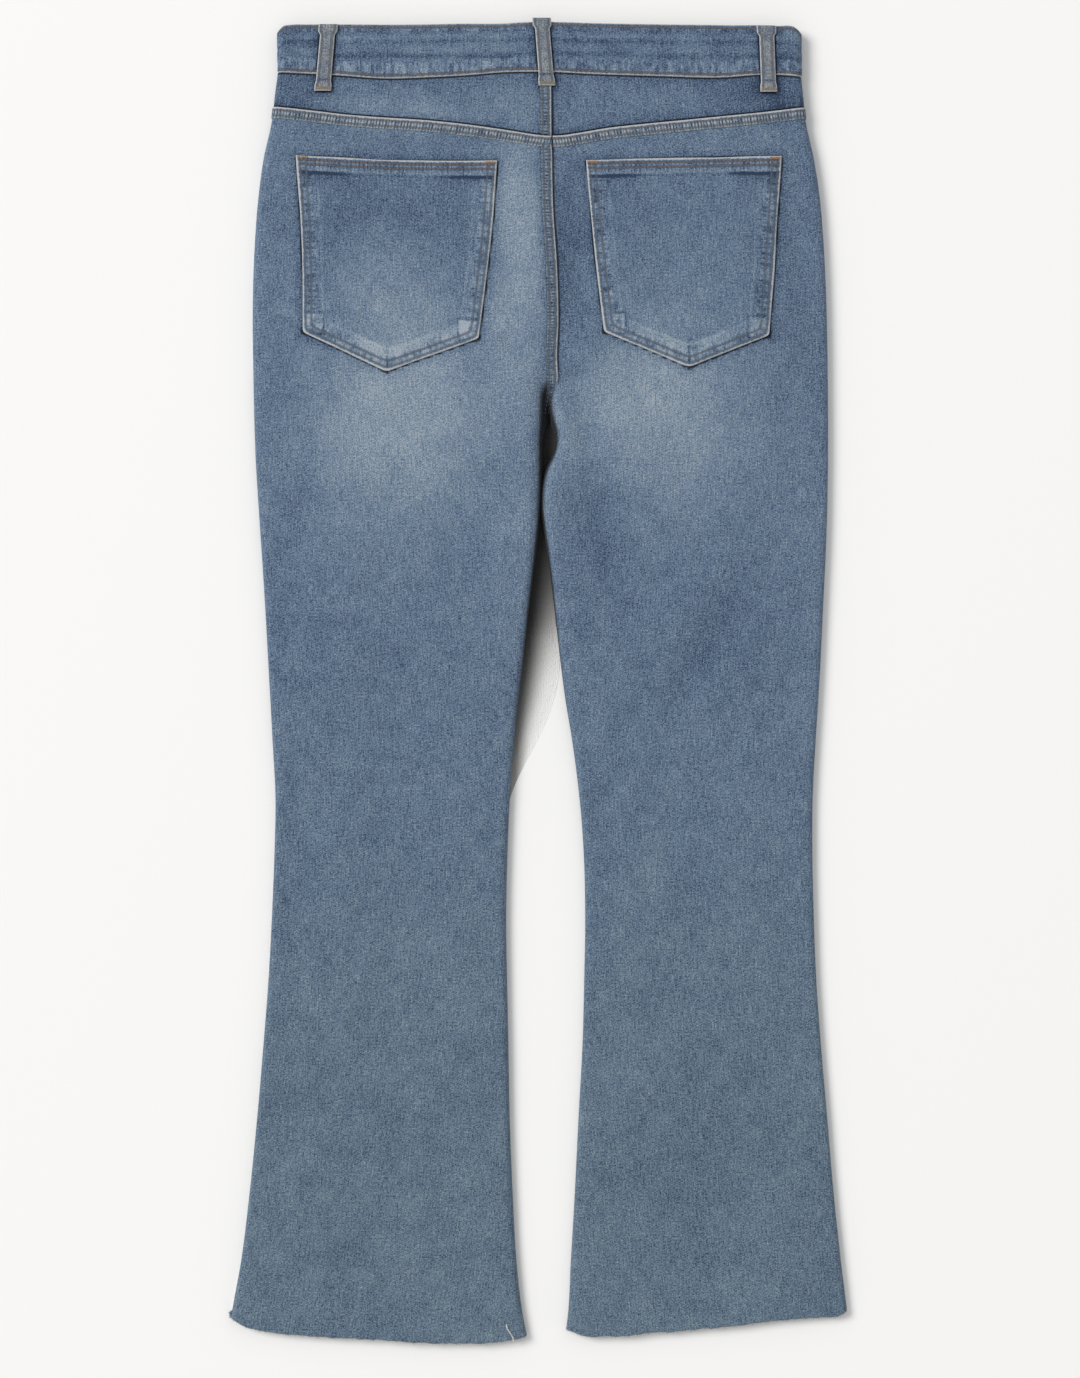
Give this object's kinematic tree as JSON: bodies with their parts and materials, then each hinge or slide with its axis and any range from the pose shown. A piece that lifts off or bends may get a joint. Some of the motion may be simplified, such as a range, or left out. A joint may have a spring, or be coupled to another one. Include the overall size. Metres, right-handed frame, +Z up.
{
  "type": "bootcut jeans",
  "caption": "Blue denim bootcut jeans laid flat, back side up, with yoke, patch back pockets, belt loops and raw-cut hems.",
  "frame": {"origin": "under the middle of the garment's box, on the surface that it lies on", "axes": "+Y from the hems to the waist, +Z up out of the back, +X towards the wearer's right"},
  "size_m": [0.4942, 1.0611, 0.0177],
  "materials": {
    "denim": "washed mid-blue stretch denim twill with soft fades on the thighs",
    "pocket_denim": "the same washed denim, paler along the stitched edges",
    "band_denim": "the same washed denim, double, with worn puckers along its edges",
    "loop_denim": "worn grey-blue denim strip with pale edges",
    "button_brass": "aged brass shank button head"
  },
  "bodies": {
    "root": {"back_leg_left": "denim", "back_leg_right": "denim", "yoke_left": "denim", "yoke_right": "denim", "front_leg_left": "denim", "front_leg_right": "denim", "pocket_facing_left": "denim", "pocket_facing_right": "denim", "fly_shield": "denim", "back_pocket_left": "pocket_denim", "back_pocket_right": "pocket_denim", "waistband": "band_denim", "belt_loop_back_left": "loop_denim", "belt_loop_back_centre": "loop_denim", "belt_loop_back_right": "loop_denim", "belt_loop_front_left": "loop_denim", "belt_loop_front_right": "loop_denim", "waist_button": "button_brass"}
  },
  "joints": []
}
